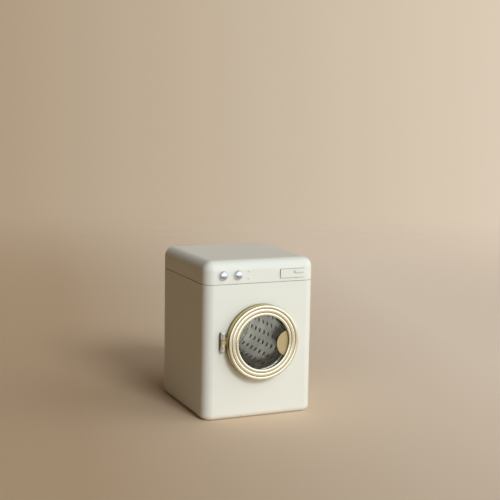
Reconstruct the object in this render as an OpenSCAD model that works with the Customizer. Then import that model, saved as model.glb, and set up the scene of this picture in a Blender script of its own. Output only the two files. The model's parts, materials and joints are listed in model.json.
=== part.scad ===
// Toy washing machine: a tinplate cabinet with a lift-on top cover, a ringed
// porthole door, a perforated drum on a stub axle, two turning knobs and a
// small drawer.
// X runs to the right and Y towards the back, the front faces -Y, Z is up.
// The origin is the middle of the underside, on the floor.

/* [Cabinet] */
// Width of the cabinet
body_w = 104; // [98:1:120]
// Depth of the cabinet
body_d = 110; // [100:1:130]
// Height of the cabinet up to the seam under the top cover
cabinet_h = 119.4; // [114:0.1:135]
// Height of the top cover
cover_h = 20; // [19:0.5:26]
// Open seam between the cabinet and the top cover
seam_gap = 0.6; // [0.3:0.1:1]
// Radius of the upright edges and of the top cover's edges
edge_r = 9; // [6:0.5:11]
// Radius of the rolled edge round the underside
base_r = 5; // [3:0.5:6]
// Thickness of the sheet metal
sheet = 1; // [0.8:0.1:1.2]
// Height of the neck that the top cover slips over
neck_h = 5; // [3.5:0.5:7]
// Width of the flanges that carry the base plate and the back panel
flange_w = 5; // [4:0.5:7]

/* [Drum and door opening] */
// Height of the axis of the door and the drum
axis_z = 68.5; // [64:0.5:76]
// Radius inside the drum
drum_r = 34.4; // [32:0.2:37]
// Wall of the drum
drum_wall = 0.8; // [0.6:0.1:1.2]
// Radius of the drum's mouth
mouth_r = 26; // [25.5:0.1:28]
// Radius inside the collar of the door opening
collar_r = 24.5; // [22:0.1:24.8]
// Length of the collar, from the front face inwards
collar_len = 5.5; // [4:0.5:7]
// Running gap between the collar and the drum
drum_gap = 1; // [0.6:0.1:2]
// Room behind the drum for the axle plate and the hub
drum_back_room = 9; // [8:0.5:12]
// Diameter of the drum's holes
hole_d = 3.8; // [2:0.1:4.5]
// Spacing of the holes along the drum
hole_pitch = 9.4; // [7:0.1:12]
// Rows of holes round the drum
hole_rows = 24; // [16:2:28]
// Turn of the first row of holes above the level, in degrees
row_turn = 1; // [0:1:14]

/* [Drum axle] */
// Diameter of the stub axle
axle_d = 5; // [4:0.5:6]
// Length of the hub bush
hub_len = 9; // [7:0.5:12]
// Wall of the hub bush
bush_wall = 2; // [1.5:0.1:2.5]
// Side of the square axle plate
axle_plate = 40; // [34:1:50]
// Thickness of the axle plate
axle_plate_t = 1.5; // [1:0.1:2]

/* [Door] */
// Radius of the window in the door ring
window_r = 23.8; // [22:0.1:25]
// Half widths of the ring's inner, middle and outer beads
bead_in = 1.4; // [1.2:0.1:1.6]
bead_mid = 1.8; // [1.5:0.1:2]
bead_out = 1.4; // [1.2:0.1:1.6]
// Depth of the door, front to back
door_t = 8.4; // [7.6:0.1:9.6]
// Gap between the closed door and the cabinet
door_gap = 1.2; // [0.4:0.1:1.6]
// Wall of the ring's rim
rim_wall = 1.2; // [1:0.1:1.5]
// Thickness of the window pane
pane_t = 1.5; // [1:0.1:2]
// Radius of the half-moon grip
grip_r = 11.8; // [9:0.1:13]
// Tilt of the grip below the level, in degrees
grip_turn = 6; // [0:1:15]
// Thickness of the grip plate
grip_t = 0.8; // [0.6:0.1:1]

/* [Hinge and catch] */
// Distance from the door's rim to the hinge pin
pin_side = 3.3; // [3.1:0.1:5]
// Distance of the hinge pin in front of the cabinet
pin_out = 4; // [3.3:0.1:4.6]
// Height of the hinge's middle above the door's axis
hinge_rise = 2; // [0:0.5:3]
// Length of the hinge
hinge_len = 15.4; // [13:0.2:20]
// Diameter of the hinge barrel
barrel_d = 4.4; // [3.8:0.1:4.6]
// Diameter of the hinge pin
pin_d = 2.2; // [1.6:0.1:2.4]
// Diameter of the catch magnet
magnet_d = 4; // [3:0.2:4.4]

/* [Control panel] */
// Diameter of the knobs
knob_d = 8.4; // [6:0.2:10]
// Height of the knobs' domes
knob_h = 3.8; // [3:0.1:4.2]
// Height of the knobs above the seam
knob_z = 7.7; // [6.6:0.1:9]
// Distance of the left knob from the cabinet's side
knob_in = 16.7; // [16:0.1:19]
// Distance between the two knobs
knob_pitch = 13.9; // [11:0.1:16]
// Diameter of the knobs' spindles
spindle_d = 3; // [2:0.5:3.5]
// Distance of the two raised dots from the right knob
dot_side = 10.1; // [7:0.1:12]
// Distance between the two dots
dot_pitch = 6.4; // [4:0.1:7]
// Diameter of the dots
dot_d = 2.6; // [1.5:0.1:3]
// Height of the dots
dot_h = 0.5; // [0.3:0.1:0.8]

/* [Drawer] */
// Width of the drawer's front
drawer_w = 23.4; // [18:0.2:24]
// Height of the drawer's front
drawer_h = 7.8; // [7:0.1:8]
// Gap between the drawer's front and the panel's round edge
drawer_side = 1.2; // [0.6:0.1:5]
// Foot of the drawer's front above the seam
drawer_z = 2.8; // [2.4:0.1:3]
// How far the drawer's front stands proud of the panel
drawer_proud = 0.9; // [0.5:0.1:1.5]
// Length of the drawer's tray
tray_len = 30; // [22:1:36]
// Wall of the tray
tray_wall = 0.8; // [0.6:0.1:1]
// Width and height of the pull on the drawer
pull_w = 8.8; // [6:0.2:12]
pull_h = 2.2; // [1.6:0.1:3]

/* [Fasteners] */
// Diameter of the screws
screw_d = 2.2; // [1.8:0.1:2.6]
// Diameter of the screws' heads
screw_head = 4.2; // [3.6:0.1:5]
// Diameter of the rivets
rivet_d = 1.6; // [1.2:0.1:2]

/* [Hidden] */
$fn = 64;

// clearances
fit = 0.15;        // sheet parts that slip together
turn_fit = 0.05;   // a shaft in its bore, on the radius
run = 0.3;         // parts that move past each other
over = 1;          // how far a cut runs past a face
drill = 8;         // length of a cut centred on a sheet

// cabinet
front_y = -body_d / 2;
back_y = body_d / 2;
cover_z = cabinet_h + seam_gap;
border = 3;        // flat sheet left beside a round edge or the neck
plate_w = body_w - 2 * (base_r + border);
plate_d = body_d - 2 * (base_r + border);
plate_r = 5;
panel_w = body_w - 2 * (edge_r + 1);
panel_lo = base_r + border;
panel_hi = cabinet_h - neck_h - border;
panel_z = (panel_lo + panel_hi) / 2;
panel_h = panel_hi - panel_lo;
panel_r = 4;
back_screw_x = panel_w / 2 - flange_w / 2;
back_screw_z = panel_h / 2 - flange_w / 2;
lap = 2;           // how far a flange laps under the sheet round a cut
cover_screw_in = 22;
cover_screw_x = body_w / 2 - cover_screw_in;
cover_screw_z = cover_z + neck_h / 2;
back_screw_len = 5;
cover_screw_len = 4;
screw_dome = 1.3;
slot_w = 0.5;
slot_deep = 0.6;
rivet_head_d = rivet_d * 1.9;
rivet_head_t = 0.5;

// drum, along Y from the mouth to the back
drum_front = front_y + collar_len + drum_gap;
drum_end = back_y - drum_back_room;
disc_t = 0.9;
lip_r = 0.8;
hole_room = hole_d / 2 + 2;
hole_count = floor((drum_end - drum_front - 2 * hole_room - hole_pitch / 2) / hole_pitch) + 1;
hole_first = (drum_front + drum_end - (hole_count - 0.5) * hole_pitch) / 2;

// axle, along Y towards the front
plate_face = back_y - sheet - axle_plate_t;
stud_flange_t = 1;
stud_flange_w = 4.5;
stud_flange_r = axle_d / 2 + stud_flange_w;
tip_past = 0.6;    // how far a shaft's tip stands past its clip
washer_t = 0.7;
washer_r = axle_d / 2 + bush_wall;
clip_t = 0.8;
clip_r = axle_d / 2 + 1.6;
hub_back = plate_face - stud_flange_t - washer_t - run;
hub_front = hub_back - hub_len;
washer_front = hub_front - run - washer_t;
axle_tip = washer_front - clip_t - tip_past;
bush_r = axle_d / 2 + turn_fit + bush_wall;
hub_wall = 1;
hub_flange_w = 6;
hub_flange_r = bush_r + hub_wall + hub_flange_w;
hub_rivet_r = bush_r + hub_wall + hub_flange_w / 2;
plate_rivet_in = 5;
plate_rivet = axle_plate / 2 - plate_rivet_in;
axle_plate_r = 3;

// door, measured forwards from its back plane
door_r = window_r + 2 * (bead_in + bead_mid + bead_out);
door_back = front_y - door_gap;
groove = 0.7;      // depth of the grooves between the beads
ring_plate_t = 1.4;
seat_h = door_t - groove - ring_plate_t;
bore_r = door_r - rim_wall;
retainer_t = 1.2;
pane_h = seat_h - grip_t - pane_t;
retainer_h = pane_h - retainer_t;
plate_in = window_r + 1;
grip_c = window_r + 1.2;

// hinge
hinge_z = axis_z + hinge_rise;
pin_x = door_r + pin_side;
pin_y = front_y - pin_out;
foot_t = 0.8;
leaf_t = 0.6;
leaf_edge = 1;     // rim left bare behind the leaf
leaf_h = 8.4;
knuckle_lo = hinge_z - hinge_len / 2;
lower_top = knuckle_lo + 0.3 * hinge_len;
middle_lo = lower_top + 1;
middle_hi = knuckle_lo + 0.62 * hinge_len;
pin_head_h = 0.9;
pin_head_d = barrel_d - 0.4;
pin_head_r = barrel_d / 1.6;
bracket_rivet = hinge_len / 2 - 2;
bracket_tail_t = 0.6;
leaf_rivet = 2.6;
leaf_rivet_len = leaf_t + 0.8;

// catch and collar
collar_wall = 0.9;
collar_out = collar_r + collar_wall;
hole_r = collar_out + fit;
collar_flange_t = 0.8;
collar_flange_r = door_r;
collar_back = front_y + sheet + collar_flange_t;
magnet_x = (collar_out + bore_r) / 2;
magnet_fit = 0.1;
magnet_face = door_back - retainer_h + run;
cup_t = 1.6;
cup_wall = 1.6;
magnet_back = collar_back + cup_t / 2;

// knobs
dome_r = (knob_d * knob_d / 4 + knob_h * knob_h) / (2 * knob_h);
dot_sphere = (dot_d * dot_d / 4 + dot_h * dot_h) / (2 * dot_h);
knob_left = knob_in - body_w / 2;
knob_right = knob_left + knob_pitch;
dot_x = knob_right + dot_side;
knob_level = cover_z + knob_z;
bush_flange_t = 0.8;
bush_flange_w = 1.4;
bush_out_r = spindle_d / 2 + turn_fit + 0.8;
bush_flange_r = bush_out_r + bush_flange_w;
bush_back = front_y + sheet + bush_flange_t;
nut_t = 0.8;
nut_r = spindle_d / 2 + 1.8;
spindle_tip = bush_back + run + nut_t + tip_past;

// drawer
drawer_x = body_w / 2 - edge_r - drawer_side - drawer_w;
drawer_cx = drawer_x + drawer_w / 2;
drawer_lo = cover_z + drawer_z;
drawer_cz = drawer_lo + drawer_h / 2;
drawer_r = 1;
front_t = drawer_proud + sheet - fit;
tray_step = 1;     // how far the front overlaps the tray all round
tray_w = drawer_w - 2 * tray_step;
tray_h = drawer_h - 2 * tray_step;
tray_front = front_y - drawer_proud + front_t;
guide_wall = 0.8;
guide_len = tray_len + 2;
guide_w = tray_w + 2 * (run + guide_wall);
guide_h = tray_h + 2 * (run + guide_wall);
guide_foot = cover_z + 0.4;
pull_t = 1.2;
pull_in = 1.2;

cream = "#E6E2D3";
gold = "#C2AE7E";
steel = "#B4B5B6";
chrome = "#D8DADC";
white = "#E8E6DF";

// ---- shapes used by several parts ----

// a rectangle with true round corners
module rrect(w, h, r) {
  square([w - 2 * r, h], center = true);
  square([w, h - 2 * r], center = true);
  for (x = [-1, 1], y = [-1, 1])
    translate([x * (w / 2 - r), y * (h / 2 - r)]) circle(r);
}

// half the outline of a tub: upright wall, rolled lower edge
module tub_edge(r, rb, h) {
  translate([0, rb]) square([r, h - rb]);
  if (r > rb) square([r - rb, rb]);
  translate([r - rb, rb]) intersection() {
    circle(rb);
    translate([0, -rb]) square([rb, rb]);
  }
}

// a solid tub with round upright edges (r) and a rolled lower edge (rb)
module tub(w, d, h, r, rb) {
  for (x = [-1, 1], y = [-1, 1])
    translate([x * (w / 2 - r), y * (d / 2 - r), 0])
      rotate_extrude() tub_edge(r, rb, h);
  rotate([90, 0, 0]) linear_extrude(d - 2 * r, center = true) tub_face(w, r, rb, h);
  rotate([90, 0, 90]) linear_extrude(w - 2 * r, center = true) tub_face(d, r, rb, h);
}

module tub_face(w, r, rb, h) {
  translate([r - w / 2, 0]) square([w - 2 * r, h]);
  for (m = [0, 1]) mirror([m, 0]) translate([w / 2 - r, 0]) tub_edge(r, rb, h);
}

// something turned about the door's axis, its height running towards the back
module about_axis(y) {
  translate([0, y, axis_z]) rotate([-90, 0, 0]) children();
}

// the same, its height running forwards from the door's back plane
module on_door(h = 0) {
  translate([0, door_back - h, axis_z]) rotate([90, 0, 0]) children();
}

module disc(r, t) {
  cylinder(r = r, h = t);
}

module ring(r_out, r_in, t) {
  difference() {
    cylinder(r = r_out, h = t);
    translate([0, 0, -over]) cylinder(r = r_in, h = t + 2 * over);
  }
}

// a pan-head screw pointing down -Z, its head standing on z = 0
module screw(len) {
  head = screw_head / 2;
  round_r = (head * head + screw_dome * screw_dome) / (2 * screw_dome);
  difference() {
    intersection() {
      translate([0, 0, screw_dome - round_r]) sphere(round_r);
      cylinder(r = head, h = screw_dome);
    }
    for (a = [0, 90]) rotate(a)
      translate([0, 0, screw_dome]) cube([head, slot_w, 2 * slot_deep], center = true);
  }
  translate([0, 0, -len]) cylinder(d = screw_d, h = len + screw_dome / 4);
}

// a rivet down -Z with a low head on z = 0 and a clenched tail below
module rivet(len, head_t = rivet_head_t, tail_t = rivet_head_t) {
  if (head_t > 0) cylinder(d = rivet_head_d, h = head_t);
  translate([0, 0, -len]) cylinder(d = rivet_d, h = len + head_t / 2);
  if (tail_t > 0) translate([0, 0, -len - tail_t]) cylinder(d = rivet_head_d, h = tail_t);
}

// the hole that a rivet goes through
module rivet_hole() {
  cylinder(d = rivet_d + 2 * turn_fit, h = drill, center = true);
}

// the hole that a screw cuts its thread in, or passes with more room
module screw_hole(room = turn_fit) {
  cylinder(d = screw_d + 2 * room, h = drill, center = true);
}

module at_back_screws() {
  for (x = [-1, 1], z = [-1, 1])
    translate([x * back_screw_x, back_y, panel_z + z * back_screw_z])
      rotate([-90, 0, 0]) children();
}

module at_cover_screws() {
  for (x = [-1, 1])
    translate([x * cover_screw_x, back_y, cover_screw_z]) rotate([-90, 0, 0]) children();
}

module at_knobs() {
  for (x = [knob_left, knob_right])
    translate([x, front_y, knob_level]) rotate([-90, 0, 0]) children();
}

module at_plate_rivets() {
  for (x = [-1, 1], z = [-1, 1])
    translate([x * plate_rivet, back_y, axis_z + z * plate_rivet])
      rotate([-90, 0, 0]) children();
}

module at_bracket_rivets() {
  for (z = [-1, 1])
    translate([-pin_x, front_y - foot_t, hinge_z + z * bracket_rivet])
      rotate([90, 0, 0]) children();
}

module at_leaf_rivets() {
  for (z = [-1, 1])
    translate([-door_r - leaf_t, pin_y, hinge_z + z * leaf_rivet])
      rotate([0, -90, 0]) children();
}

module drawer_slab(w, h, r, y, t) {
  translate([drawer_cx, y + t, drawer_cz]) rotate([90, 0, 0])
    linear_extrude(t) rrect(w, h, r);
}

// ---- cabinet ----

module cabinet_shell() {
  color(cream) difference() {
    union() {
      difference() {
        tub(body_w, body_d, cabinet_h, edge_r, base_r);
        translate([0, 0, sheet])
          tub(body_w - 2 * sheet, body_d - 2 * sheet, cabinet_h, edge_r - sheet, base_r - sheet);
        translate([0, 0, -over]) linear_extrude(sheet + 2 * over)
          rrect(plate_w + 2 * fit, plate_d + 2 * fit, plate_r + fit);
        translate([0, back_y + over, panel_z]) rotate([90, 0, 0])
          linear_extrude(sheet + 2 * over)
            rrect(panel_w + 2 * fit, panel_h + 2 * fit, panel_r + fit);
      }
      neck();
      translate([0, 0, sheet]) linear_extrude(sheet) difference() {
        rrect(plate_w + 2 * lap, plate_d + 2 * lap, plate_r + lap);
        rrect(plate_w - 2 * flange_w, plate_d - 2 * flange_w, plate_r);
      }
      translate([0, back_y - sheet, panel_z]) rotate([90, 0, 0])
        linear_extrude(sheet) difference() {
          rrect(panel_w + 2 * lap, panel_h + 2 * lap, panel_r + lap);
          rrect(panel_w - 2 * flange_w, panel_h - 2 * flange_w, panel_r);
        }
    }
    about_axis(front_y - over) cylinder(r = hole_r, h = sheet + 2 * over);
    at_back_screws() screw_hole();
    at_cover_screws() screw_hole();
    at_bracket_rivets() rivet_hole();
    magnet_hole();
  }
}

// the inner neck that the top cover slips over, cut away behind the drawer and
// scalloped round the knobs' bushes
module neck() {
  w = body_w - 2 * sheet;
  d = body_d - 2 * sheet;
  r = edge_r - sheet;
  difference() {
    union() {
      translate([0, 0, cabinet_h - neck_h]) linear_extrude(neck_h) rrect(w, d, r);
      translate([0, 0, cabinet_h - neck_h]) linear_extrude(2 * neck_h + seam_gap)
        rrect(w - 2 * fit, d - 2 * fit, r - fit);
    }
    translate([0, 0, cabinet_h - neck_h - over]) linear_extrude(2 * neck_h + seam_gap + 2 * over)
      rrect(w - 2 * sheet, d - 2 * sheet, r - sheet);
    translate([drawer_x - flange_w - run, front_y, cover_z])
      cube([drawer_w + flange_w + 2 * run, 4 * sheet, 2 * neck_h]);
    at_knobs() cylinder(r = bush_flange_r + run, h = drill, center = true);
  }
}

module base_plate() {
  color(cream) linear_extrude(sheet) rrect(plate_w, plate_d, plate_r);
}

module back_panel() {
  color(cream) difference() {
    translate([0, back_y, panel_z]) rotate([90, 0, 0])
      linear_extrude(sheet) rrect(panel_w, panel_h, panel_r);
    at_back_screws() screw_hole(2 * turn_fit);
    at_plate_rivets() rivet_hole();
  }
}

module back_panel_screws() {
  color(steel) at_back_screws() screw(back_screw_len);
}

module top_cover() {
  color(cream) {
    difference() {
      translate([0, 0, cover_z + cover_h]) mirror([0, 0, 1])
        tub(body_w, body_d, cover_h, edge_r, edge_r);
      translate([0, 0, cover_z + cover_h - sheet]) mirror([0, 0, 1])
        tub(body_w - 2 * sheet, body_d - 2 * sheet, cover_h, edge_r - sheet, edge_r - sheet);
      at_knobs() cylinder(r = bush_out_r + turn_fit, h = drill, center = true);
      drawer_slab(drawer_w + 2 * run, drawer_h + 2 * run, drawer_r + run, front_y - over,
        sheet + 2 * over);
      at_cover_screws() screw_hole(2 * turn_fit);
    }
    for (z = [-1, 1]) translate([dot_x, front_y, knob_level + z * dot_pitch / 2])
      intersection() {
        translate([0, dot_sphere - dot_h, 0]) sphere(dot_sphere);
        translate([-dot_d, -dot_h, -dot_d]) cube([2 * dot_d, dot_h + sheet / 2, 2 * dot_d]);
      }
  }
}

module top_cover_screws() {
  color(steel) at_cover_screws() screw(cover_screw_len);
}

module opening_collar() {
  color(steel) difference() {
    union() {
      about_axis(front_y) ring(collar_out, collar_r, collar_len);
      about_axis(front_y + sheet) ring(collar_flange_r, collar_r, collar_flange_t);
    }
    magnet_hole();
  }
}

// ---- drum and its axle ----

module axle_plate() {
  color(steel) difference() {
    translate([0, back_y - sheet, axis_z]) rotate([90, 0, 0])
      linear_extrude(axle_plate_t) rrect(axle_plate, axle_plate, axle_plate_r);
    at_plate_rivets() rivet_hole();
    about_axis(plate_face - over) cylinder(d = axle_d, h = axle_plate_t + 2 * over);
  }
}

module axle_plate_rivets() {
  color(steel) at_plate_rivets() rivet(sheet + axle_plate_t);
}

// a shouldered stud: its tail is clenched in the axle plate
module drum_axle() {
  color(steel) {
    about_axis(plate_face - stud_flange_t) disc(stud_flange_r, stud_flange_t);
    about_axis(axle_tip) cylinder(d = axle_d, h = plate_face - stud_flange_t / 2 - axle_tip);
    about_axis(plate_face - stud_flange_t / 2)
      cylinder(r = axle_d / 2 - turn_fit, h = axle_plate_t + stud_flange_t / 2);
  }
}

module axle_washers() {
  color(steel) for (y = [washer_front, hub_back + run])
    about_axis(y) ring(washer_r, axle_d / 2 + turn_fit, washer_t);
}

module axle_clip() {
  color(steel) about_axis(washer_front - clip_t)
    ring(clip_r, axle_d / 2 + turn_fit, clip_t);
}

module drum_shell() {
  color(steel) difference() {
    about_axis(drum_front) ring(drum_r + drum_wall, drum_r, drum_end - drum_front);
    for (row = [0:hole_rows - 1], i = [0:hole_count - 1])
      translate([0, hole_first + (i + (row % 2) / 2) * hole_pitch, axis_z])
        rotate([0, -row_turn - row * 360 / hole_rows, 0])
          translate([drum_r - over, 0, 0]) rotate([0, 90, 0])
            cylinder(d = hole_d, h = drum_wall + 2 * over, $fn = 24);
  }
}

// the mouth ring: a flat annulus with a rolled lip
module drum_front_ring() {
  color(steel) about_axis(drum_front + disc_t) rotate_extrude() {
    translate([mouth_r + lip_r, 0]) square([drum_r - fit - mouth_r - lip_r, disc_t]);
    translate([mouth_r + lip_r, disc_t - lip_r]) circle(lip_r, $fn = 32);
  }
}

module drum_back() {
  color(steel) difference() {
    about_axis(drum_end - 2 * disc_t) disc(drum_r - fit, disc_t);
    about_axis(drum_end - 3 * disc_t) cylinder(r = bush_r + hub_wall + fit, h = 3 * disc_t);
    at_hub_rivets() rivet_hole();
  }
}

module at_hub_rivets() {
  about_axis(drum_end - 2 * disc_t) for (a = [45:90:315]) rotate(a)
    translate([hub_rivet_r, 0, 0]) mirror([0, 0, 1]) children();
}

// a flanged tube riveted to the drum's back, round the bush
module drum_hub() {
  color(steel) difference() {
    union() {
      about_axis(hub_front) ring(bush_r + hub_wall, bush_r + turn_fit, hub_len);
      about_axis(drum_end - disc_t) ring(hub_flange_r, bush_r + turn_fit, disc_t);
    }
    at_hub_rivets() rivet_hole();
  }
}

module hub_rivets() {
  color(steel) at_hub_rivets() rivet(2 * disc_t);
}

module hub_bush() {
  color("#B98F4A") about_axis(hub_front) ring(bush_r, axle_d / 2 + turn_fit, hub_len);
}

// ---- hinge and catch ----

module at_pin(z) {
  translate([-pin_x, pin_y, z]) children();
}

module knuckle(z0, z1) {
  at_pin(z0) cylinder(d = barrel_d, h = z1 - z0);
}

module hinge_bracket() {
  color(chrome) difference() {
    union() {
      for (k = [[knuckle_lo, lower_top], [middle_hi + run, knuckle_lo + hinge_len]]) {
        knuckle(k[0], k[1]);
        translate([-pin_x - barrel_d / 4, pin_y, k[0]])
          cube([barrel_d / 2, front_y - foot_t / 2 - pin_y, k[1] - k[0]]);
      }
      translate([-pin_x - barrel_d / 2, front_y - foot_t, knuckle_lo])
        cube([barrel_d, foot_t, hinge_len]);
    }
    at_pin(knuckle_lo - over) cylinder(r = pin_d / 2 + turn_fit, h = hinge_len + 2 * over);
    at_bracket_rivets() mirror([0, 0, 1]) cylinder(d = rivet_d + 2 * turn_fit, h = foot_t + over);
  }
}

module bracket_rivets() {
  color(chrome) at_bracket_rivets() rivet(foot_t + sheet, 0, bracket_tail_t);
}

module hinge_pin() {
  color(chrome) {
    at_pin(knuckle_lo) cylinder(d = pin_d, h = hinge_len);
    for (z = [0, 1]) at_pin(knuckle_lo + z * hinge_len) mirror([0, 0, 1 - z])
      intersection() {
        translate([0, 0, pin_head_h - pin_head_r]) sphere(pin_head_r);
        cylinder(d = pin_head_d, h = pin_head_h);
      }
  }
}

module hinge_washer() {
  color(chrome) at_pin(lower_top + run / 2)
    ring(barrel_d / 2, pin_d / 2 + turn_fit, middle_lo - lower_top - run);
}

// something turned about the magnet's axis, its height running forwards from y
module at_magnet(y) {
  translate([magnet_x, y, axis_z]) rotate([90, 0, 0]) children();
}

// the way through the sheet and the collar's flange that the magnet stands in
module magnet_hole() {
  at_magnet(magnet_back) cylinder(d = magnet_d + 2 * magnet_fit, h = drill);
}

module catch_magnet() {
  color("#8C8E90") at_magnet(magnet_back) cylinder(d = magnet_d, h = magnet_back - magnet_face);
}

module catch_cup() {
  color(steel) difference() {
    at_magnet(collar_back + cup_t) cylinder(r = magnet_d / 2 + magnet_fit + cup_wall, h = cup_t);
    magnet_hole();
    about_axis(collar_back - over) cylinder(r = collar_out + fit, h = cup_t + 2 * over);
  }
}

// ---- door ----

// section of one bead of the ring, an arc that rises from the plate
module bead(r, w) {
  arc_r = (w * w + groove * groove) / (2 * groove);
  intersection() {
    translate([r, door_t - arc_r]) circle(arc_r);
    translate([r - w, seat_h]) square([2 * w, door_t - seat_h]);
  }
}

module door_ring() {
  color(gold) difference() {
    on_door() rotate_extrude($fn = 128) difference() {
      union() {
        bead(window_r + bead_in, bead_in);
        bead(window_r + 2 * bead_in + bead_mid, bead_mid);
        bead(door_r - bead_out, bead_out);
        translate([window_r, seat_h]) square([door_r - window_r, ring_plate_t]);
        translate([bore_r, 0]) square([rim_wall, door_t - groove]);
      }
      translate([window_r - over, -over]) square([bore_r - window_r + over, seat_h + over]);
    }
    at_leaf_rivets() rivet_hole();
  }
}

// a thin annulus behind the ring, with the half-moon that the finger pulls
module door_grip_plate() {
  color(gold) on_door(seat_h - grip_t) linear_extrude(grip_t) {
    difference() {
      circle(bore_r - fit);
      circle(plate_in);
    }
    intersection() {
      rotate(-grip_turn) translate([grip_c, 0]) circle(grip_r);
      circle(plate_in + 1);
    }
  }
}

module door_window() {
  color("#C8D2D4", 0.35) on_door(pane_h) disc(bore_r - 2 * fit, pane_t);
}

module window_retainer() {
  color(steel) on_door(retainer_h) ring(bore_r - fit, plate_in, retainer_t);
}

module door_hinge_leaf() {
  color(gold) difference() {
    union() {
      knuckle(middle_lo, middle_hi);
      translate([-pin_x, pin_y - leaf_t / 2, middle_lo])
        cube([pin_x - door_r - leaf_t / 2, leaf_t * 1.5, middle_hi - middle_lo]);
      intersection() {
        on_door(leaf_edge)
          ring(door_r + leaf_t, door_r + turn_fit / 2, door_t - groove - 2 * leaf_edge);
        translate([-pin_x, door_back - door_t, hinge_z - leaf_h / 2])
          cube([2 * pin_side, door_t, leaf_h]);
      }
    }
    at_pin(knuckle_lo - over) cylinder(r = pin_d / 2 + turn_fit, h = hinge_len + 2 * over);
    at_leaf_rivets() cylinder(d = rivet_d + 2 * turn_fit, h = 4 * leaf_t, center = true);
  }
}

module leaf_rivets() {
  color(gold) at_leaf_rivets() rivet(leaf_rivet_len, 0, 0);
}

// ---- control panel ----

// a domed cap with its spindle
module knob(x) {
  color(chrome) {
    translate([x, front_y - run, knob_level]) rotate([90, 0, 0]) intersection() {
      translate([0, 0, knob_h - dome_r]) sphere(dome_r, $fn = 96);
      cylinder(d = knob_d, h = knob_h);
    }
    translate([x, spindle_tip, knob_level]) rotate([90, 0, 0])
      cylinder(d = spindle_d, h = spindle_tip - front_y + 2 * run);
  }
}

module knob_clip(x) {
  color(steel) translate([x, bush_back + run, knob_level]) rotate([-90, 0, 0])
    ring(nut_r, spindle_d / 2 + turn_fit, nut_t);
}

module knob_bushes() {
  color(white) at_knobs() {
    ring(bush_out_r, spindle_d / 2 + turn_fit, sheet + bush_flange_t);
    translate([0, 0, sheet]) ring(bush_flange_r, spindle_d / 2 + turn_fit, bush_flange_t);
  }
}

module left_knob() knob(knob_left);
module right_knob() knob(knob_right);
module left_knob_clip() knob_clip(knob_left);
module right_knob_clip() knob_clip(knob_right);

// ---- drawer ----

module drawer_front() {
  color(cream) drawer_slab(drawer_w, drawer_h, drawer_r, front_y - drawer_proud, front_t);
}

module drawer_tray() {
  color(cream) difference() {
    translate([drawer_cx - tray_w / 2, tray_front, drawer_cz - tray_h / 2])
      cube([tray_w, tray_len, tray_h]);
    translate([drawer_cx - tray_w / 2 + tray_wall, tray_front + tray_wall,
      drawer_cz - tray_h / 2 + tray_wall])
      cube([tray_w - 2 * tray_wall, tray_len - 2 * tray_wall, tray_h]);
  }
}

module drawer_pull() {
  color(cream)
    translate([drawer_x + drawer_w - pull_in - pull_w, front_y - drawer_proud,
      drawer_lo + drawer_h - pull_in - pull_h])
      rotate([90, 0, 0]) linear_extrude(pull_t)
        translate([pull_w / 2, pull_h / 2]) rrect(pull_w, pull_h, pull_h / 3);
}

// a sleeve that the tray slides in, flanged to the panel
module drawer_guide() {
  y = front_y + sheet;
  color(steel) difference() {
    union() {
      translate([drawer_cx - guide_w / 2, y, drawer_cz - guide_h / 2])
        cube([guide_w, guide_len, guide_h]);
      translate([drawer_x - flange_w, y, guide_foot])
        cube([flange_w + drawer_w, guide_wall, drawer_h]);
    }
    translate([drawer_cx - tray_w / 2 - run, y - over, drawer_cz - tray_h / 2 - run])
      cube([tray_w + 2 * run, guide_len + 2 * over, tray_h + 2 * run]);
  }
}

cabinet_shell();
base_plate();
back_panel();
back_panel_screws();
top_cover();
top_cover_screws();
opening_collar();
axle_plate();
axle_plate_rivets();
drum_axle();
axle_washers();
axle_clip();
drum_shell();
drum_front_ring();
drum_back();
drum_hub();
hub_rivets();
hub_bush();
hinge_bracket();
bracket_rivets();
hinge_pin();
hinge_washer();
catch_magnet();
catch_cup();
door_ring();
door_grip_plate();
door_window();
window_retainer();
door_hinge_leaf();
leaf_rivets();
left_knob();
left_knob_clip();
right_knob();
right_knob_clip();
knob_bushes();
drawer_front();
drawer_tray();
drawer_pull();
drawer_guide();
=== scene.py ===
import json
import math

import bmesh
import bpy
from mathutils import Matrix, Vector


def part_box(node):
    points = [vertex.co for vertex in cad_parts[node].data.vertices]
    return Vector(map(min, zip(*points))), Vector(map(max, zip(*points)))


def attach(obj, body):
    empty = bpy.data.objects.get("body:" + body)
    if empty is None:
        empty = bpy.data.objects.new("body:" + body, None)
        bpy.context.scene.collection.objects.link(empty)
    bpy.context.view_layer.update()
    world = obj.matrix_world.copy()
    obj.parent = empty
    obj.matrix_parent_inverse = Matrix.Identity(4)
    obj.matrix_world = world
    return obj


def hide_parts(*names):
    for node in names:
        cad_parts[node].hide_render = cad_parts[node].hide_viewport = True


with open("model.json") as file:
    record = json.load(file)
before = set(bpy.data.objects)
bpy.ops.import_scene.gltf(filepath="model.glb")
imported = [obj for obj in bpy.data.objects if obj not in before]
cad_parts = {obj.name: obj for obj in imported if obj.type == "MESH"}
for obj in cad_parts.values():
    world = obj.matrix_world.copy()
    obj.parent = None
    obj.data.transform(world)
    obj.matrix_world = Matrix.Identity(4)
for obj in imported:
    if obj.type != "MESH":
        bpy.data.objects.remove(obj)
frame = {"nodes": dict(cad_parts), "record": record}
bpy.context.view_layer.update()
print("frame loaded:", len(frame["nodes"]), "nodes")

mm = 0.001
nodes = frame["nodes"]
facingFront = Matrix.Rotation(math.radians(90), 4, "X")
doubleGap = 0.001 * mm  # points closer than this are one point
touch = 0.01 * mm  # an edge closer than this to a plane lies in it
flatEnough = 0.99  # the least cosine between a flat face and its direction

# the Mix node's socket names repeat, so they go by number
numberA, numberB, mixedNumber = 2, 3, 0
colourA, colourB, mixedColour = 6, 7, 2


# helpers for materials

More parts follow.
